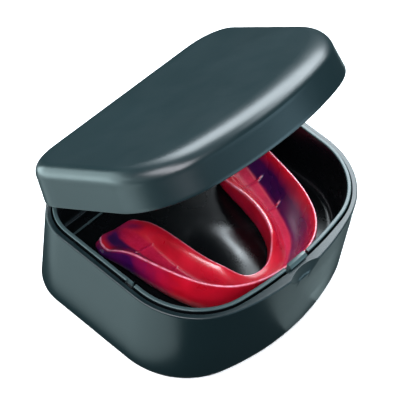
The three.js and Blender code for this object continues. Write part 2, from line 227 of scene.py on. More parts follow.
# ------------------------------------------------------------------ plan of the case

def plan_points(plan, straight=8, corner=18, side=12, front=24, bow=46):
    """Points and outward normals of a case plan, anticlockwise from above."""
    half = []

    def line(p, q, n, steps):
        for i in range(steps):
            t = i / steps
            half.append((p[0] + (q[0] - p[0]) * t, p[1] + (q[1] - p[1]) * t, n[0], n[1]))

    def arc(cx, cy, r, a0, a1, steps, last=False):
        for i in range(steps + (1 if last else 0)):
            a = math.radians(a0 + (a1 - a0) * i / steps)
            nx, ny = math.cos(a), math.sin(a)
            half.append((cx + r * nx, cy + r * ny, nx, ny))

    xb = plan["half"] - plan["r_back"]
    yb = plan["back"] - plan["r_back"]
    yf = yb - plan["side"]
    xf = plan["half"] - plan["r_front"]
    end = plan["bow"] - 90
    line((0, plan["back"]), (xb, plan["back"]), (0, 1), straight)
    arc(xb, yb, plan["r_back"], 90, 0, corner)
    line((plan["half"], yb), (plan["half"], yf), (1, 0), side)
    arc(xf, yf, plan["r_front"], 0, end, front)
    jx = xf + plan["r_front"] * math.cos(math.radians(end))
    jy = yf + plan["r_front"] * math.sin(math.radians(end))
    bow_r = jx / math.sin(math.radians(plan["bow"]))
    bow_cy = jy + bow_r * math.cos(math.radians(plan["bow"]))
    arc(0, bow_cy, bow_r, end, -90, bow, last=True)
    half[-1] = (0.0, half[-1][1], 0.0, -1.0)
    mirrored = [(-x, y, -nx, ny) for x, y, nx, ny in half[1:-1][::-1]]
    return np.array((half + mirrored)[::-1])


CASE = plan_points(CASE_PLAN)
MOUTH = plan_points(MOUTH_PLAN)


def ring(points, inset, z):
    """The plan's outline at one height, moved inwards along its normals."""
    xy = points[:, :2] - inset * points[:, 2:]
    return np.column_stack([xy, np.full(len(xy), float(z))])


def quarter(points, inset0, z0, inset1, z1, leave, steps):
    """Rings of a quarter round that leaves along "z" or along the "inset"."""
    out = []
    for i in range(steps + 1):
        a = math.pi / 2 * i / steps
        early, late = 1 - math.cos(a), math.sin(a)
        si, sz = (early, late) if leave == "z" else (late, early)
        out.append(ring(points, inset0 + (inset1 - inset0) * si, z0 + (z1 - z0) * sz))
    return out


def walls(points, inset0, z0, inset1, z1, steps):
    """Evenly spaced rings strictly between two heights."""
    return [
        ring(points, inset0 + (inset1 - inset0) * t, z0 + (z1 - z0) * t)
        for t in (i / steps for i in range(1, steps))
    ]


def loft(name, rings):
    """A closed quad mesh through rings of equal length, with flat caps made of shrinking rings."""
    def cap(source):
        centre = np.array([0.0, 0.0, source[0, 2]])
        return [centre + (source - centre) * np.array([k, k, 1.0]) for k in (0.93, 0.6, 0.25)]

    rings = cap(rings[0])[::-1] + list(rings) + cap(rings[-1])
    n = len(rings[0])
    verts = [tuple(v) for r in rings for v in r]
    faces = []
    for band in range(len(rings) - 1):
        a = band * n
        b = a + n
        faces += [(a + i, a + (i + 1) % n, b + (i + 1) % n, b + i) for i in range(n)]
    faces.append(tuple(range(n))[::-1])
    last = (len(rings) - 1) * n
    faces.append(tuple(range(last, last + n)))
    return new_object(name, verts, faces)


# ------------------------------------------------------------------ materials

class Nodes:
    """Small helper to write a material's node tree."""

    def __init__(self, name):
        self.material = bpy.data.materials.new(name)
        self.material.use_nodes = True
        self.tree = self.material.node_tree
        self.tree.nodes.clear()
        out = self.add("ShaderNodeOutputMaterial")
        self.bsdf = self.add("ShaderNodeBsdfPrincipled")
        self.link(self.bsdf.outputs["BSDF"], out.inputs["Surface"])
        self.coords = self.add("ShaderNodeTexCoord").outputs["Object"]

    def add(self, kind, **settings):
        node = self.tree.nodes.new(kind)
        for key, value in settings.items():
            setattr(node, key, value)
        return node

    def link(self, a, b):
        self.tree.links.new(a, b)

    def set(self, **values):
        """Sets inputs of the shader, with an underscore for each space in a name."""
        for key, value in values.items():
            self.bsdf.inputs[key.replace("_", " ")].default_value = value

    def noise(self, scale, detail=3.0, rough=0.55, stretch=None):
        node = self.add("ShaderNodeTexNoise")
        node.inputs["Scale"].default_value = scale
        node.inputs["Detail"].default_value = detail
        node.inputs["Roughness"].default_value = rough
        source = self.coords
        if stretch:
            mapping = self.add("ShaderNodeMapping")
            mapping.inputs["Scale"].default_value = stretch
            self.link(self.coords, mapping.inputs["Vector"])
            source = mapping.outputs["Vector"]
        self.link(source, node.inputs["Vector"])
        return node.outputs["Fac"]

    def remap(self, value, low, high, out_low=0.0, out_high=1.0):
        node = self.add("ShaderNodeMapRange")
        for key, number in zip(("From Min", "From Max", "To Min", "To Max"),
                               (low, high, out_low, out_high)):
            node.inputs[key].default_value = number
        self.link(value, node.inputs["Value"])
        return node.outputs["Result"]

    def math(self, operation, a, b):
        node = self.add("ShaderNodeMath", operation=operation)
        for socket, value in zip(node.inputs, (a, b)):
            if isinstance(value, (int, float)):
                socket.default_value = value
            else:
                self.link(value, socket)
        return node.outputs["Value"]

    def mix(self, factor, a, b):
        node = self.add("ShaderNodeMix", data_type="RGBA")
        colour_inputs = [s for s in node.inputs if s.type == "RGBA"]
        for socket, value in zip([node.inputs[0], *colour_inputs], (factor, a, b)):
            if isinstance(value, (int, float)):
                socket.default_value = value
            elif isinstance(value, tuple):
                socket.default_value = value if len(value) == 4 else (*value, 1.0)
            else:
                self.link(value, socket)
        return next(s for s in node.outputs if s.type == "RGBA")

    def attribute(self, name):
        return self.add("ShaderNodeAttribute", attribute_name=name).outputs["Fac"]

    def bump(self, height, strength, distance_mm, onto=None):
        node = self.add("ShaderNodeBump")
        node.inputs["Strength"].default_value = strength
        node.inputs["Distance"].default_value = distance_mm * MM
        self.link(height, node.inputs["Height"])
        if onto is not None:
            self.link(onto, node.inputs["Normal"])
        return node.outputs["Normal"]

    def pointiness(self):
        return self.add("ShaderNodeNewGeometry").outputs["Pointiness"]


def moulded_plastic(name, dark, light, roughness, grain, scuffs):
    """Satin moulded plastic: spark-eroded grain, faint flow mottle, hairline scuffs, worn edges."""
    m = Nodes(name)
    mottle = m.noise(38, 4)
    colour = m.mix(m.remap(mottle, 0.35, 0.7), dark, light)
    hair = m.noise(140, 2, 0.5, stretch=(1.0, 14.0, 6.0))
    hair_b = m.noise(120, 2, 0.5, stretch=(12.0, 1.2, 5.0))
    lines = m.math("MAXIMUM", m.remap(hair, 0.68, 0.74), m.remap(hair_b, 0.7, 0.75))
    lines = m.math("MULTIPLY", lines, m.remap(m.noise(22, 2), 0.5, 0.7, 0, scuffs))
    worn = m.math("MULTIPLY", m.remap(m.pointiness(), 0.53, 0.6), m.remap(m.noise(260, 3), 0.4, 0.7))
    bright = tuple(min(1.0, 2.2 * c + 0.02) for c in light)
    colour = m.mix(m.math("MULTIPLY", lines, 0.35), colour, bright)
    colour = m.mix(m.math("MULTIPLY", worn, 0.3), colour, bright)
    m.link(colour, m.bsdf.inputs["Base Color"])
    rough = m.remap(m.noise(95, 4), 0.3, 0.7, roughness - 0.02, roughness + 0.02)
    m.link(m.math("ADD", rough, m.math("MULTIPLY", lines, 0.12)), m.bsdf.inputs["Roughness"])
    fine = m.bump(m.noise(2600, 3, 0.6), grain, 0.03)
    m.link(m.bump(m.noise(520, 3, 0.5), grain * 0.45, 0.05, onto=fine), m.bsdf.inputs["Normal"])
    m.set(IOR=1.5)
    return m.material


# Each pair is mottled from its first colour to its second.
GUARD_RED = ((0.42, 0.003, 0.014), (0.58, 0.006, 0.026))
# Purple: the guard's own tint, also laid on as painted shade in the trough and along the ribs.
GUARD_PLUM = ((0.020, 0.001, 0.045), (0.060, 0.002, 0.066))
GUARD_MILKY = ((0.32, 0.005, 0.048), (0.46, 0.020, 0.085))
# Pale pink painted on the rims and rib fins as their highlight.
GUARD_RIM_HIGHLIGHT = (0.85, 0.42, 0.58)
STEEL_GREY = ((0.42, 0.43, 0.44), (0.62, 0.63, 0.64))


def guard_polymer():
    """Red thermoplastic that deepens to purple, partly its own tint and partly painted shade, with a
    frosted bite floor, paler arm ends, and pale rims and fins that are painted highlights.
    """
    m = Nodes("guard_polymer")
    purple = m.attribute("purple")
    frost = m.attribute("frost")
    pale_edge_and_highlight = m.attribute("pale_edge_and_highlight")
    red = m.mix(m.remap(m.noise(150, 4), 0.35, 0.7), *GUARD_RED)
    plum = m.mix(m.remap(m.noise(110, 3), 0.35, 0.65), *GUARD_PLUM)
    shade_of = m.math("ADD", purple, m.remap(m.noise(180, 3), 0.3, 0.7, -0.14, 0.14))
    # The purple is partly the guard's tint and partly painted shade. It is deepest in the trough at
    # the cheek wall's foot and along each rib.
    colour = m.mix(m.remap(shade_of, 0.08, 0.92), red, plum)
    milky = m.mix(m.remap(m.noise(900, 4, 0.65), 0.4, 0.68), *GUARD_MILKY)
    veil = m.math("MULTIPLY", frost, m.math("SUBTRACT", 0.6, m.math("MULTIPLY", purple, 0.6)))
    colour = m.mix(veil, colour, milky)
    # Painted highlight: the pale colour along rims and fins, broken into patches, stands in for the
    # light they catch.
    patchy = m.remap(m.noise(420, 3), 0.35, 0.65, 0.2, 0.62)
    rim = m.math("MULTIPLY", m.remap(pale_edge_and_highlight, 0.45, 1.0), patchy)
    colour = m.mix(rim, colour, GUARD_RIM_HIGHLIGHT)
    m.link(colour, m.bsdf.inputs["Base Color"])
    rough = m.remap(m.noise(70, 3), 0.3, 0.7, 0.24, 0.34)
    rough = m.math("ADD", rough, m.math("MULTIPLY", frost, 0.30))
    m.link(rough, m.bsdf.inputs["Roughness"])
    grainy = m.math("MULTIPLY", m.noise(1500, 4, 0.65), frost)
    skin = m.bump(m.noise(75, 2), 0.35, 0.35)
    skin = m.bump(m.noise(420, 2), 0.12, 0.08, onto=skin)
    m.link(m.bump(grainy, 0.5, 0.12, onto=skin), m.bsdf.inputs["Normal"])
    m.set(IOR=1.5, Subsurface_Weight=0.3, Subsurface_Scale=0.0022,
          Subsurface_Radius=(1.0, 0.22, 0.30), Coat_Roughness=0.26)
    gloss = m.math("SUBTRACT", 0.5, m.math("MULTIPLY", frost, 0.4))
    m.link(gloss, m.bsdf.inputs["Specular IOR Level"])
    m.link(m.math("SUBTRACT", 1.0, frost), m.bsdf.inputs["Coat Weight"])
    return m.material


def brushed_steel():
    """Steel drawn along X, with fine streaks."""
    m = Nodes("pin_steel")
    streak = m.noise(900, 3, 0.6, stretch=(0.08, 1.0, 1.0))
    m.link(m.mix(m.remap(streak, 0.3, 0.7), *STEEL_GREY), m.bsdf.inputs["Base Color"])
    m.link(m.remap(streak, 0.3, 0.7, 0.24, 0.4), m.bsdf.inputs["Roughness"])
    m.set(Metallic=1.0)
    return m.material


CASE_PLASTIC = moulded_plastic(
    "case_plastic", dark=(0.0045, 0.0125, 0.0145), light=(0.0055, 0.0145, 0.0168),
    roughness=0.33, grain=0.10, scuffs=0.3)
# Painted shade: the tray's plastic is made near black for the shade that fills the case's interior.
SHADED_TRAY_PLASTIC = moulded_plastic(
    "tray_plastic", dark=(0.0015, 0.002, 0.0026), light=(0.002, 0.0028, 0.0035),
    roughness=0.27, grain=0.05, scuffs=0.2)
# Painted light: a lighter copy of the same tray plastic, for the light on the lip and the latch
# tongue.
LIT_TRAY_PLASTIC = moulded_plastic(
    "lit_tray_plastic", dark=(0.036, 0.062, 0.064), light=(0.046, 0.074, 0.077),
    roughness=0.32, grain=0.06, scuffs=0.4)
GUARD = guard_polymer()
STEEL = brushed_steel()


def finish(obj, material, body, slot_name, *nodes):
    """Gives a piece its material, the CAD nodes it replaces and the body it rides on."""
    obj.data.materials.clear()
    obj.data.materials.append(material)
    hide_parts(*nodes)
    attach(obj, body)


# ------------------------------------------------------------------ base shell

def circle_arc(radius, a0, a1, steps):
    """Points (y, z) of an arc about the hinge line, from a0 to a1 degrees."""
    return [
        (HINGE_Y + radius * math.cos(math.radians(a0 + (a1 - a0) * i / steps)),
         HINGE_Z + radius * math.sin(math.radians(a0 + (a1 - a0) * i / steps)))
        for i in range(steps + 1)
    ]


def dish_scallop(rings):
    """Presses the thumb scallop into every outside ring near the rim."""
    centre_y = CASE[:, 1].min() - SCALLOP_R + SCALLOP_DEPTH
    for r in rings:
        z = r[0, 2]
        rise = (z - (BASE_HEIGHT - SCALLOP_HEIGHT)) / SCALLOP_HEIGHT
        if rise <= 0:
            continue
        radius = SCALLOP_R - SCALLOP_FLARE + SCALLOP_FLARE * min(1.0, rise) ** 0.8
        inside = np.abs(r[:, 0]) < radius
        face = centre_y + np.sqrt(np.maximum(radius**2 - r[:, 0]**2, 0))
        near = inside & (r[:, 1] < SCALLOP_LIMIT_Y) & (face > r[:, 1])
        r[near, 1] = face[near]


def make_base():
    """The hollow shell, with its scallop and four hinge ears."""
    foot = BASE_DRAFT + FOOT_RADIUS
    outside = quarter(CASE, foot, 0, BASE_DRAFT, FOOT_RADIUS, "inset", 12)
    outside += walls(CASE, BASE_DRAFT, FOOT_RADIUS, UPPER_WALL_INSET, UPPER_WALL_Z, 10)
    outside += [
        ring(CASE, UPPER_WALL_INSET * (UPRIGHT_Z - z) / (UPRIGHT_Z - UPPER_WALL_Z), z)
        for z in np.linspace(UPPER_WALL_Z, UPPER_WALL_TOP, 11)
    ]
    outside += quarter(CASE, 0, BASE_HEIGHT - RIM_ROUND, RIM_ROUND, BASE_HEIGHT, "z", 4)
    dish_scallop(outside)
    ledge_edge = ring(MOUTH, -LEDGE_ROUND, BASE_HEIGHT)
    ledge = [outside[-1] + (ledge_edge - outside[-1]) * t for t in (0.12, 0.5, 1.0)]
    inside = [
        ring(MOUTH, 0, BASE_HEIGHT - LEDGE_ROUND),
        *walls(MOUTH, 0, BASE_HEIGHT - LEDGE_ROUND, 0, SHOULDER_Z, 5),
        ring(MOUTH, 0, SHOULDER_Z),
        ring(MOUTH, SHOULDER_WIDTH, SHOULDER_Z),
        ring(MOUTH, SHOULDER_WIDTH, FOOT_RADIUS),
        *quarter(MOUTH, SHOULDER_WIDTH, FOOT_RADIUS, SHOULDER_WIDTH + 2, BASE_FLOOR, "z", 3)[1:],
    ]
    base = loft("base_shell_body", outside + ledge + inside)
    ear = [
        (CASE_PLAN["back"] - 0.6, BASE_HEIGHT - 6.5),
        (HINGE_Y + KNUCKLE_R, HINGE_Z - 2.4),
        *circle_arc(KNUCKLE_R, 0, 180, 24),
        (HINGE_Y - KNUCKLE_R, BASE_HEIGHT - 0.1),
        (CASE_PLAN["back"] - 0.6, BASE_HEIGHT - 0.1),
    ]
    for station in STATIONS:
        for sign in (-1, 1):
            x0, x1 = sorted((station + sign * EAR_START, station + sign * EAR_END))
            lug = extrude_side("ear", ear, x0, x1)
            soften(lug, LUG_ROUND, 2, 30)
            combine(base, lug, "UNION")
        bore = cylinder_x("bore", BORE_R, station - EAR_END - 1, station + EAR_END + 1)
        combine(base, bore, "DIFFERENCE")
    return shade(base, 40)


finish(make_base(), CASE_PLASTIC, "base", "case_plastic", "base_shell")


# ------------------------------------------------------------------ tray with its lip

def make_island():
    """The soft oval crown of the tray's floor, inside the guard's arch."""
    angle = np.linspace(0, 2 * math.pi, 96, endpoint=False)
    oval = np.column_stack([ISLAND_HALF_WIDTH * np.cos(angle), ISLAND_HALF_LENGTH * np.sin(angle)])
    rings = [np.column_stack([oval, np.full(len(oval), -OVERLAP)])]
    for share in np.linspace(1.0, 0.06, 24):
        height = ISLAND_RISE * (1 - share**2) ** 2
        rings.append(np.column_stack([oval * share, np.full(len(oval), height)]))
    island = loft("island", rings)
    to_guard = Matrix.Translation(Vector((GUARD_X, GUARD_Y, TRAY_FLOOR)) * MM)
    turn = Matrix.Rotation(GUARD_TURN, 4, "Z")
    island.data.transform(to_guard @ turn @ Matrix.Translation((ISLAND_U * MM, ISLAND_V * MM, 0)))
    return island


def make_step():
    """The low step across the back of the tray's floor. Its chamfer catches a line of light, made
    brighter by the lighter plastic painted on it as a highlight.
    """
    run, drop = STEP_CHAMFER
    under, top = TRAY_FLOOR - OVERLAP, TRAY_FLOOR + STEP_RISE
    profile = [
        (STEP_Y, under), (MOUTH_PLAN["back"], under), (MOUTH_PLAN["back"], top),
        (STEP_Y + run, top), (STEP_Y, top - drop),
    ]
    step = extrude_side("step", profile, -MOUTH_PLAN["half"], MOUTH_PLAN["half"])
    inset = TRAY_GAP + LIP_WIDTH / 2
    limit = loft("step_limit", [ring(MOUTH, inset, under - 1), ring(MOUTH, inset, top + 1)])
    combine(step, limit, "INTERSECT")
    return step


def make_tray():
    """The tray and its lip, with the slot for the latch tongue and the stepped notch."""
    inner = TRAY_GAP + LIP_WIDTH
    foot = inner + 0.3
    edge = 0.3
    rings = [
        *quarter(MOUTH, TRAY_GAP + 1, TRAY_UNDER, TRAY_GAP, TRAY_UNDER + 1, "inset", 5),
        *walls(MOUTH, TRAY_GAP, TRAY_UNDER + 1, TRAY_GAP, LIP_TOP - edge, 8),
        *quarter(MOUTH, TRAY_GAP, LIP_TOP - edge, TRAY_GAP + edge, LIP_TOP, "z", 4),
        *quarter(MOUTH, inner - edge, LIP_TOP, inner, LIP_TOP - edge, "inset", 4),
        *walls(MOUTH, inner, LIP_TOP - edge, foot, TRAY_FLOOR + TRAY_FILLET, 8),
        *quarter(MOUTH, foot, TRAY_FLOOR + TRAY_FILLET, foot + TRAY_FILLET, TRAY_FLOOR, "z", 8),
    ]
    tray = loft("inner_tray_body", rings)
    combine(tray, make_island(), "UNION")
    combine(tray, make_step(), "UNION")
    slot = TONGUE_HALF + SLOT_GAP
    combine(tray, box("slot", -slot, slot, TONGUE_Y - 2, TONGUE_Y + 2, TONGUE_ROOT - 0.3,
                      LIP_TOP + 1), "DIFFERENCE")
    outer = TRAY_GAP - MOUTH_PLAN["half"]
    for reach, y0, y1 in ((2.0, NOTCH_Y - 0.5, NOTCH_Y + 0.5), (0.6, NOTCH_Y, NOTCH_Y + 2.5)):
        combine(tray, box("notch", outer - 1, outer + reach, y0, y1, LIP_TOP - NOTCH_DEPTH,
                          LIP_TOP + 1), "DIFFERENCE")
    shade(tray, 40)
    finish(tray, SHADED_TRAY_PLASTIC, "base", "tray_plastic", "inner_tray")
    # The lip gets the lighter copy of the tray's plastic as painted light. The walls and floor keep
    # the near-black copy as painted shade.
    tray.data.materials.append(LIT_TRAY_PLASTIC)
    # The step's chamfer also gets the lighter plastic: a painted highlight line across the back of
    # the floor.
    chamfer_y = (STEP_Y + STEP_CHAMFER[0] / 2) * MM
    for face in tray.data.polygons:
        on_lip = face.center.z > (LIP_TOP - 1.1) * MM
        slants = face.normal.y < -0.4 and face.normal.z > 0.4
        on_chamfer = slants and abs(face.center.y - chamfer_y) < 0.1 * MM
        if on_lip or on_chamfer:
            face.material_index = 1


make_tray()


# ------------------------------------------------------------------ latch tongue

def make_tongue():
    """The latch tongue, with the small hook on its front face."""
    front = TONGUE_Y - TONGUE_THICK / 2
    back = TONGUE_Y + TONGUE_THICK / 2
    profile = [
        (front, TONGUE_ROOT), (back, TONGUE_ROOT), (back, TONGUE_TOP),
        (front + 0.15, TONGUE_TOP), (front - 0.7, TONGUE_TOP - 0.6),
        (front - 0.7, TONGUE_TOP - 1.1), (front, TONGUE_TOP - 1.6),
    ]
    tongue = extrude_side("latch_tongue_body", profile, -TONGUE_HALF, TONGUE_HALF)
    soften(tongue, 0.16, 3, 25)
    return shade(tongue, 45)


# The tongue is tray plastic too, and gets its lighter copy as painted light.
finish(make_tongue(), LIT_TRAY_PLASTIC, "tongue", "tray_plastic", "latch_tongue")


# ------------------------------------------------------------------ lid

def swing(obj, angle):
    """Turns an object's vertices about the hinge line, front edge upwards."""
    pivot = Vector((0, HINGE_Y * MM, HINGE_Z * MM))
    turn = Matrix.Translation(pivot) @ Matrix.Rotation(-angle, 4, "X") @ Matrix.Translation(-pivot)
    obj.data.transform(turn)


def make_lid():
    """The hollow lid with its catch bead and two knuckles, made shut and then swung open."""
    ceiling = LID_TOP - LID_ROOF
    skirt_in = LID_SKIRT + LID_DRAFT
    bend = LID_INNER_RADIUS
    in_edge, out_edge = 0.25, 0.35
    inside = [
        *quarter(CASE, skirt_in + bend, ceiling, skirt_in, ceiling - bend, "inset", 8),
        *walls(CASE, skirt_in, ceiling - bend, LID_SKIRT, LID_PARTING + in_edge, 6),
        *quarter(CASE, LID_SKIRT, LID_PARTING + in_edge, LID_SKIRT - in_edge, LID_PARTING, "z", 3),
    ]
    outside = [
        *quarter(CASE, out_edge, LID_PARTING, 0, LID_PARTING + out_edge, "inset", 4),
        *walls(CASE, 0, LID_PARTING + out_edge, LID_DRAFT, LID_CROWN_Z, 8),
    ]
    # The crown is a superellipse, wide at the front and back and tighter along the sides.
    width = LID_CROWN_SIDE + (LID_CROWN_FRONT - LID_CROWN_SIDE) * CASE[:, 3:]**2
    steps = 28
    for i in range(steps + 1):
        a = math.pi / 2 * i / steps
        inset = LID_DRAFT + width * (1 - math.cos(a) ** (2 / LID_CROWN_POWER))
        rise = (LID_TOP - LID_CROWN_Z) * math.sin(a) ** (2 / LID_CROWN_POWER)
        outside.append(ring(CASE, inset, LID_CROWN_Z + rise))
    lid = loft("lid_shell_body", inside + outside)
    skirt_y = CASE[:, 1].min() + LID_SKIRT
    bead = box("bead", -BEAD_HALF, BEAD_HALF, skirt_y - 0.3, skirt_y + 0.6,
               LID_PARTING + BEAD_Z[0], LID_PARTING + BEAD_Z[1])
    soften(bead, 0.2, 2)
    combine(lid, bead, "UNION")
    root = CASE_PLAN["back"] - 0.9
    knuckle = [
        (root, LID_PARTING + 0.4),
        *circle_arc(KNUCKLE_R, -90, 90, 24),
        (root, HINGE_Z + KNUCKLE_R + 0.8),
    ]
    for station in STATIONS:
        lug = extrude_side("knuckle", knuckle, station - KNUCKLE_HALF, station + KNUCKLE_HALF)
        soften(lug, LUG_ROUND, 2, 30)
        combine(lid, lug, "UNION")
        bore = cylinder_x("bore", BORE_R, station - KNUCKLE_HALF - 1, station + KNUCKLE_HALF + 1)
        combine(lid, bore, "DIFFERENCE")
    swing(lid, LID_OPEN)
    return shade(lid, 40)


finish(make_lid(), CASE_PLASTIC, "lid", "case_plastic", "lid_shell")


# ------------------------------------------------------------------ hinge pins

for station, side in zip(STATIONS, ("left", "right")):
    pin = cylinder_x(f"hinge_pin_{side}_body", PIN_R, station - PIN_HALF, station + PIN_HALF, 48)
    soften(pin, 0.25, 3, 60)
    shade(pin, 50)
    finish(pin, STEEL, "base", "pin_steel", f"hinge_pin_{side}")


# ------------------------------------------------------------------ mouthguard

def catmull(points, samples):
    """Points along a centripetal Catmull-Rom curve, at even steps of length."""
    p = np.array(points, float)
    p = np.vstack([2 * p[0] - p[1], p, 2 * p[-1] - p[-2]])
    dense = []
    for i in range(1, len(p) - 2):
        p0, p1, p2, p3 = p[i - 1:i + 3]
        t0 = 0.0
        t1 = t0 + np.linalg.norm(p1 - p0) ** 0.5
        t2 = t1 + np.linalg.norm(p2 - p1) ** 0.5
        t3 = t2 + np.linalg.norm(p3 - p2) ** 0.5
        for t in np.linspace(t1, t2, 24, endpoint=(i == len(p) - 3)):
            a1 = (t1 - t) / (t1 - t0) * p0 + (t - t0) / (t1 - t0) * p1
            a2 = (t2 - t) / (t2 - t1) * p1 + (t - t1) / (t2 - t1) * p2
            a3 = (t3 - t) / (t3 - t2) * p2 + (t - t2) / (t3 - t2) * p3
            b1 = (t2 - t) / (t2 - t0) * a1 + (t - t0) / (t2 - t0) * a2
            b2 = (t3 - t) / (t3 - t1) * a2 + (t - t1) / (t3 - t1) * a3
            dense.append((t2 - t) / (t2 - t1) * b1 + (t - t1) / (t2 - t1) * b2)
    dense = np.array(dense)
    length = np.concatenate([[0], np.cumsum(np.linalg.norm(np.diff(dense, axis=0), axis=1))])
    at = np.asarray(samples) * length[-1]
    return np.column_stack([np.interp(at, length, dense[:, 0]), np.interp(at, length, dense[:, 1])])


class ArchEdge:
    """One edge of the arch. Its parameter runs from -1 at the left arm end to 1 at the right."""

    def __init__(self, edge):
        whole = list(edge[1:][::-1]) + [(-x, y) for x, y in edge]
        self.half = catmull(whole, np.linspace(0.5, 0.0, 1001))
        steps = np.linalg.norm(np.diff(self.half, axis=0), axis=1)
        self.length = np.concatenate([[0], np.cumsum(steps)])

    def point(self, t):
        """Even steps of length round the bow, then even steps of v along each arm."""
        u, v = self.half.T
        share = abs(t) / GUARD_BOW_SHARE
        if share <= 1:
            at = share * np.interp(GUARD_BOW, v, self.length)
            here = np.interp(at, self.length, u), np.interp(at, self.length, v)
        else:
            along = (abs(t) - GUARD_BOW_SHARE) / (1 - GUARD_BOW_SHARE)
            v_here = GUARD_BOW + along * (v[-1] - GUARD_BOW)
            here = np.interp(v_here, v, u), v_here
        return np.array([math.copysign(here[0], t), here[1]])


def cheek_top(v, is_left):
    """The left arm's cheek wall is trimmed down towards its end; the right one stays tall."""
    top = 29.0 - 0.02 * v - 0.0037 * v**2
    if is_left:
        return top - 0.035 * max(0.0, v - 31) ** 2
    return top + 0.0037 * max(0.0, v - 27) ** 2 - 0.13 * max(0.0, v - 43) ** 2


def tongue_top(v):
    """The tongue wall is highest a little behind the bow."""
    return 22.9 - 0.01 * (v - 22) ** 2


def smoothstep(value, low, high):
    t = min(1.0, max(0.0, (value - low) / (high - low)))
    return t * t * (3 - 2 * t)


def guard_section(width, v, bulge, rib, is_left):
    """Section points (across, z) with their amounts of purple (tint and painted shade), frost, and
    pale colour, which paints highlights on rims and fins.
    """
    low, floor = GUARD_UNDER, GUARD_FLOOR
    k = min(1.0, width / 12.5)
    inner = max(tongue_top(v), floor + 0.6)
    outer = max(cheek_top(v, is_left), floor + 0.8)
    tall = outer - floor
    rise = inner - floor
    lift = RIB_LIFT * rib
    fin = RIB_FIN * rib
    arm = smoothstep(v, 13, 35)
    tip = smoothstep(v, 40, 45)
    return [
        # The underside, from the tongue side outwards.
        (-0.5, low + 0.8, 0.1 + 0.3 * arm, 0.2, 0),
        (0.6, low, 0.3, 0, 0),
        (width * 0.5, low, 0.4, 0, 0),
        (width - 1.6, low, 0.5, 0, 0),
        # The cheek side, upwards, and the cheek wall's rim, with its pale painted highlight.
        (width - 0.5 + bulge * 0.4, low + 1, 0.2 + 0.8 * arm, 0, 0),
        (width + bulge, low + (outer - low) * 0.35, arm, 0, 0),
        (width + bulge * 0.8, low + (outer - low) * 0.65, 0.95 * arm, 0, 0),
        (width + 0.1, outer - 0.7, 0.8 * arm, 0, 0.05),
        (width - 0.02, outer - 0.05, 0.4 * arm, 0, 0.9),
        (width - 0.25, outer + 0.12, 0.2 * arm, 0, 1.0),
        (width - 0.85, outer + 0.02, 0.1, 0, 0.3),
        # Down the inside of the cheek wall. The purple deepens towards its foot: tint, plus painted
        # shade in the trough.
        (width - 1.3 * k, outer - tall * 0.10, 0.15, 0, 0),
        (width - 2.1 * k, outer - tall * 0.30, 0.55, 0, 0),
        (width - 3.3 * k, floor + tall * 0.45, 1.0, 0, 0),
        # The rib fin is pale and less purple: a painted highlight.
        (width - 4.7 * k, floor + tall * 0.23 + fin * 0.15, 1.0, 0, 0.3 * rib),
        (width - 5.7 * k, floor + tall * 0.09 + fin, 1.0 - 0.9 * rib, 0, rib),
        (width - 6.35 * k, floor + 0.1 + lift, 0.7 - 0.3 * rib, 0.4, 0.2 * rib),
        # The bite floor. The purple along each rib paints a shadow line on the ridge's far side.
        (width - 7.0 * k, floor + lift, 0.05 + 0.5 * tip + 0.35 * rib, 1, 0),
        (width * 0.5 - 1.6 * k, floor + lift, 0.3 * tip + 0.35 * rib, 1, 0),
        (5.3 * k, floor + rise * 0.02 + lift, 0.2 * tip + 0.2 * rib, 0.8, 0),
        # Up the inside of the tongue wall to its rim, with its pale painted highlight.
        (4.6 * k, floor + rise * 0.12, 0.5 * tip, 0.1, 0),
        (3.7 * k, floor + rise * 0.42, 0.8 * tip, 0, 0),
        (2.8 * k, floor + rise * 0.71, 0.8 * tip, 0, 0),
        (1.8 * k, inner - rise * 0.09, 0.3 * tip, 0, 0),
        (0.95 * k, inner + 0.02, 0, 0, 0.15),
        (0.25, inner + 0.12, 0, 0, 0.9),
        (0.02, inner - 0.1, 0, 0, 0.8),
        # Down the tongue side.
        (-0.2, inner - 0.8, 0.05, 0.2, 0.2),
        (-0.6, low + (inner - low) * 0.5, 0.1 + 0.2 * arm, 0.3, 0),
    ]


def guard_stations(cheek):
    """Even parameters along the arch, each with its rib amount, in a tight group at each rib."""
    end_v = cheek.half[-1, 1]
    per_mm = (1 - GUARD_BOW_SHARE) / (end_v - GUARD_BOW)
    stations = [(t, 0.0) for t in np.linspace(-1, 1, 97)]
    for rib_v in RIB_AT:
        for side in (-1, 1):
            here = side * (GUARD_BOW_SHARE + (rib_v - GUARD_BOW) * per_mm)
            stations = [s for s in stations if abs(s[0] - here) > 1.0 * per_mm]
            stations += [(here + mm * per_mm, amount) for mm, amount in
                         ((-1.0, 0), (-0.45, 0), (-0.22, 1), (0.22, 1), (0.45, 0), (1.0, 0))]
    return sorted(stations)


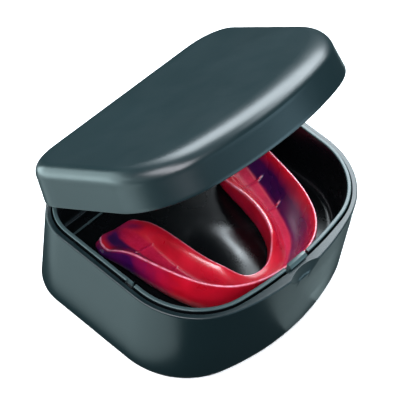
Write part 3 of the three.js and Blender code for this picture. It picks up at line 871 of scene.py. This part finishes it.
def make_guard():
    """The guard: its section swept from the left arm's end round the bow to the right one's."""
    cheek, tongue = ArchEdge(CHEEK_EDGE), ArchEdge(TONGUE_EDGE)
    turn = Matrix.Rotation(GUARD_TURN, 3, "Z")
    stations = guard_stations(cheek)
    verts, tints = [], []
    for t, rib in stations:
        outer_p, inner_p = cheek.point(t), tongue.point(t)
        across = outer_p - inner_p
        width = float(np.linalg.norm(across))
        across = across / width
        bulge = GUARD_BULGE * smoothstep(abs(t), 0.1, 0.4)
        end = smoothstep(abs(t), 0.95, 1.0)
        section = guard_section(width, outer_p[1], bulge, rib, t < 0)
        count = len(section)
        for a, z, purple, frost, pale_edge_and_highlight in section:
            x, y = inner_p + across * a
            p = turn @ Vector((x, y, z))
            verts.append((p.x + GUARD_X, p.y + GUARD_Y, z))
            tints.append((purple * (1 - end) + 0.55 * end, frost * (1 - end),
                          pale_edge_and_highlight + (1 - pale_edge_and_highlight) * 0.25 * end))
    faces = []
    for band in range(len(stations) - 1):
        for i in range(count):
            a = band * count + i
            b = band * count + (i + 1) % count
            faces.append((a, a + count, b + count, b))
    faces.append(tuple(range(count)))
    last = (len(stations) - 1) * count
    faces.append(tuple(range(last, last + count))[::-1])
    guard = new_object("mouthguard_body", verts, faces)
    for name, column in (("purple", 0), ("frost", 1), ("pale_edge_and_highlight", 2)):
        layer = guard.data.attributes.new(name, "FLOAT", "POINT")
        layer.data.foreach_set("value", [t[column] for t in tints])
    fix_normals(guard)
    smooth = guard.modifiers.new("smooth", "SUBSURF")
    smooth.levels = 2
    smooth.render_levels = 2
    bake_modifiers(guard)
    guard.data.shade_smooth()
    return guard


finish(make_guard(), GUARD, "guard", "guard_polymer", "mouthguard")


# ------------------------------------------------------------------ floor, light and camera

def make_stage():
    """A white floor that only the camera sees."""
    far = 900
    corners = [(-far, -far, 0), (far, -far, 0), (far, far, 0), (-far, far, 0)]
    floor = new_object("floor", corners, [(0, 1, 2, 3)], smooth=False)
    m = Nodes("floor_paper")
    m.link(m.mix(m.remap(m.noise(9, 2), 0.3, 0.7), (0.86, 0.86, 0.86), (0.90, 0.90, 0.90)),
           m.bsdf.inputs["Base Color"])
    m.set(Roughness=0.9, Emission_Color=(1, 1, 1, 1), Emission_Strength=0.4)
    floor.data.materials.append(m.material)
    floor.visible_glossy = False
    floor.visible_diffuse = False


COOL = (0.85, 0.94, 1.0)
CYAN = (0.74, 0.97, 1.0)
LILAC = (0.95, 0.94, 1.0)
BLUE = (0.55, 0.84, 1.0)
LIT_POINT = (0.0, 0.0, 0.035)
ON_FLOOR = 0.001

# Name, position and size in metres, radiance and colour. A card on the floor faces straight up,
# and any other light faces LIT_POINT.
SOFTBOXES = (
    ("key_softbox", (0.39, 0.40, 0.50), (0.72, 0.46), 12.6, COOL),
    ("right_softbox", (0.58, 0.04, 0.42), (0.28, 0.28), 8.0, COOL),
    ("high_right_softbox", (0.36, -0.04, 0.62), (0.26, 0.24), 6.0, COOL),
    ("front_softbox", (-0.38, -0.24, 0.60), (0.40, 0.42), 10.5, LILAC),
    ("left_high_softbox", (-0.43, 0.12, 0.57), (0.34, 0.30), 10.5, LILAC),
    ("left_softbox", (-0.60, 0.16, 0.14), (0.40, 0.22), 1.2, CYAN),
    ("back_left_card", (-0.40, 0.55, 0.08), (0.62, 0.15), 6.0, CYAN),
    ("back_floor_card", (-0.165, 0.225, ON_FLOOR), (0.27, 0.25), 6.0, CYAN),
    ("left_floor_card", (-0.235, 0.070, ON_FLOOR), (0.23, 0.25), 2.5, CYAN),
    ("left_near_card", (-0.084, 0.035, ON_FLOOR), (0.078, 0.13), 1.15, CYAN),
    ("right_floor_card", (0.090, 0.010, ON_FLOOR), (0.080, 0.08), 3.0, CYAN),
    ("front_right_card", (0.070, -0.072, ON_FLOOR), (0.110, 0.08), 0.45, CYAN),
    ("front_wide_card", (0.085, -0.105, ON_FLOOR), (0.170, 0.14), 0.50, CYAN),
    ("low_front_card", (0.24, -0.58, 0.17), (0.52, 0.20), 5.2, BLUE),
)
WORLD_COLOUR = (0.40, 0.62, 0.68, 1)
WORLD_STRENGTH = 0.09


def softbox(name, position, target, size, radiance, colour):
    """A rectangular light that the camera doesn't see."""
    width, height = size
    light = bpy.data.lights.new(name, "AREA")
    light.shape = "RECTANGLE"
    light.size = width
    light.size_y = height
    light.energy = radiance * math.pi * width * height
    light.color = colour
    lamp = bpy.data.objects.new(name, light)
    lamp.location = position
    lamp.rotation_euler = (Vector(target) - Vector(position)).to_track_quat("-Z", "Y").to_euler()
    lamp.visible_camera = False
    bpy.context.scene.collection.objects.link(lamp)


def make_light():
    """The softboxes, and a world that is white to the camera and dim to everything else."""
    for name, position, size, radiance, colour in SOFTBOXES:
        x, y, z = position
        target = (x, y, 1.0) if z == ON_FLOOR else LIT_POINT
        softbox(name, position, target, size, radiance, colour)
    world = bpy.data.worlds.new("studio")
    bpy.context.scene.world = world
    world.use_nodes = True
    tree = world.node_tree
    tree.nodes.clear()
    out = tree.nodes.new("ShaderNodeOutputWorld")
    mix = tree.nodes.new("ShaderNodeMixShader")
    path = tree.nodes.new("ShaderNodeLightPath")
    dim = tree.nodes.new("ShaderNodeBackground")
    dim.inputs["Color"].default_value = WORLD_COLOUR
    dim.inputs["Strength"].default_value = WORLD_STRENGTH
    white = tree.nodes.new("ShaderNodeBackground")
    white.inputs["Color"].default_value = (1, 1, 1, 1)
    tree.links.new(path.outputs["Is Camera Ray"], mix.inputs["Fac"])
    tree.links.new(dim.outputs["Background"], mix.inputs[1])
    tree.links.new(white.outputs["Background"], mix.inputs[2])
    tree.links.new(mix.outputs["Shader"], out.inputs["Surface"])


CAMERA_AZIMUTH = math.radians(-55.92)
CAMERA_ELEVATION = math.radians(50.40)
CAMERA_ROLL = math.radians(10.04)
CAMERA_DISTANCE = 617.58
CAMERA_TARGET = (-3.19, 2.82, 32.0)
CAMERA_LENS = 195.4


def make_camera():
    """The camera worked out from the case's outline in the photograph."""
    azimuth, elevation, roll = CAMERA_AZIMUTH, CAMERA_ELEVATION, CAMERA_ROLL
    distance = CAMERA_DISTANCE * MM
    target = Vector(CAMERA_TARGET) * MM
    back = Vector((math.sin(azimuth) * math.cos(elevation),
                   -math.cos(azimuth) * math.cos(elevation), math.sin(elevation)))
    level_right = Vector((math.cos(azimuth), math.sin(azimuth), 0))
    level_up = back.cross(level_right)
    right = level_right * math.cos(roll) + level_up * math.sin(roll)
    up = level_up * math.cos(roll) - level_right * math.sin(roll)
    camera = bpy.data.objects.new("camera", bpy.data.cameras.new("camera"))
    camera.data.sensor_width = 36
    camera.data.lens = CAMERA_LENS
    camera.data.clip_start = 0.01
    camera.data.clip_end = 10
    turn = Matrix((right, up, back)).transposed().to_4x4()
    camera.matrix_world = Matrix.Translation(target + back * distance) @ turn
    bpy.context.scene.collection.objects.link(camera)
    bpy.context.scene.camera = camera


make_stage()
make_light()
make_camera()
bpy.context.scene.view_settings.view_transform = "Standard"
bpy.context.scene.view_settings.look = "None"
